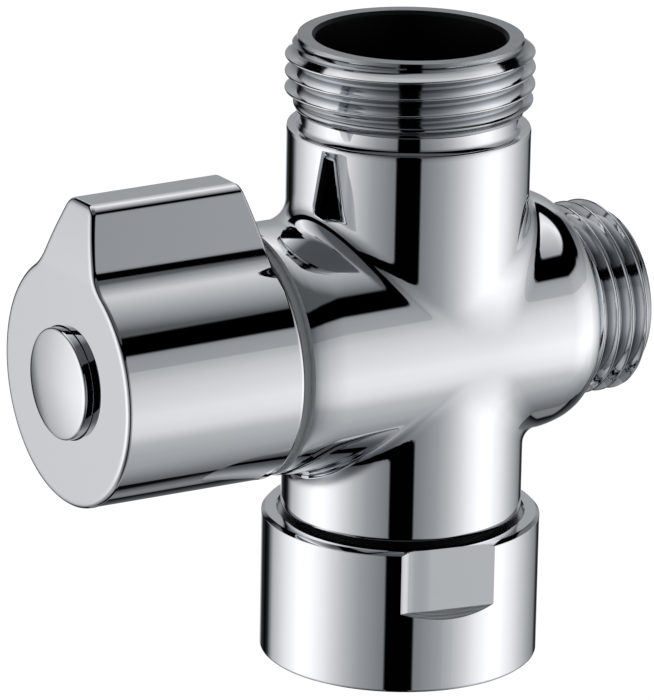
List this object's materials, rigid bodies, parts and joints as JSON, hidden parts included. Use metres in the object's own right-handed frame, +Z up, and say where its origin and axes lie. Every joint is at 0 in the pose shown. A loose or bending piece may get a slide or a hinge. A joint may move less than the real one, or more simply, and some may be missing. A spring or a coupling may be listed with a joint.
{
  "type": "shower diverter",
  "caption": "Chrome two-outlet shower diverter with a swivel inlet nut below, threaded outlets on top and at the side, and a half-turn knob.",
  "frame": {"origin": "centre of the swivel nut's lower face, on the main tube's axis", "axes": "+Z up the main tube to the top outlet, +X towards the side outlet, knob towards -X"},
  "size_m": [0.0684, 0.03, 0.0682],
  "materials": {
    "chrome_body": "polished chrome plate on cast brass",
    "chrome_nut": "polished chrome plate on turned brass",
    "chrome_knob": "polished chrome plate on die-cast zinc",
    "chrome_cap": "polished chrome plate on a pressed cap",
    "spring_steel": "bright stainless steel",
    "filter_steel": "perforated stainless sheet",
    "machined_brass": "turned brass",
    "black_rubber": "matt nitrile rubber",
    "white_ceramic": "lapped alumina ceramic",
    "grey_ceramic": "lapped alumina ceramic",
    "white_plastic": "moulded acetal"
  },
  "bodies": {
    "valve_body": {"body": "chrome_body", "nut_snap_ring": "spring_steel", "cartridge_housing": "machined_brass", "housing_o_ring": "black_rubber", "port_seal": "black_rubber", "fixed_disc": "white_ceramic", "thrust_washer": "white_plastic"},
    "inlet_nut": {"swivel_nut": "chrome_nut", "inlet_washer": "black_rubber", "inlet_filter": "filter_steel"},
    "knob": {"knob": "chrome_knob", "knob_insert": "machined_brass", "screw_washer": "spring_steel", "knob_screw": "spring_steel", "index_cap": "chrome_cap", "spindle": "machined_brass", "spindle_clip": "spring_steel", "spindle_o_ring_inner": "black_rubber", "spindle_o_ring_outer": "black_rubber", "disc_carrier": "white_plastic", "moving_disc": "grey_ceramic"}
  },
  "joints": [
    {"name": "knob_turn", "type": "hinge", "parent": "valve_body", "child": "knob", "pos_m": [-0.0203, 0, 0.0362], "axis": [1, 0, 0], "range_deg": [0, 180]},
    {"name": "nut_spin", "type": "hinge", "parent": "valve_body", "child": "inlet_nut", "pos_m": [0, 0, 0.012], "axis": [0, 0, 1], "continuous": true}
  ]
}
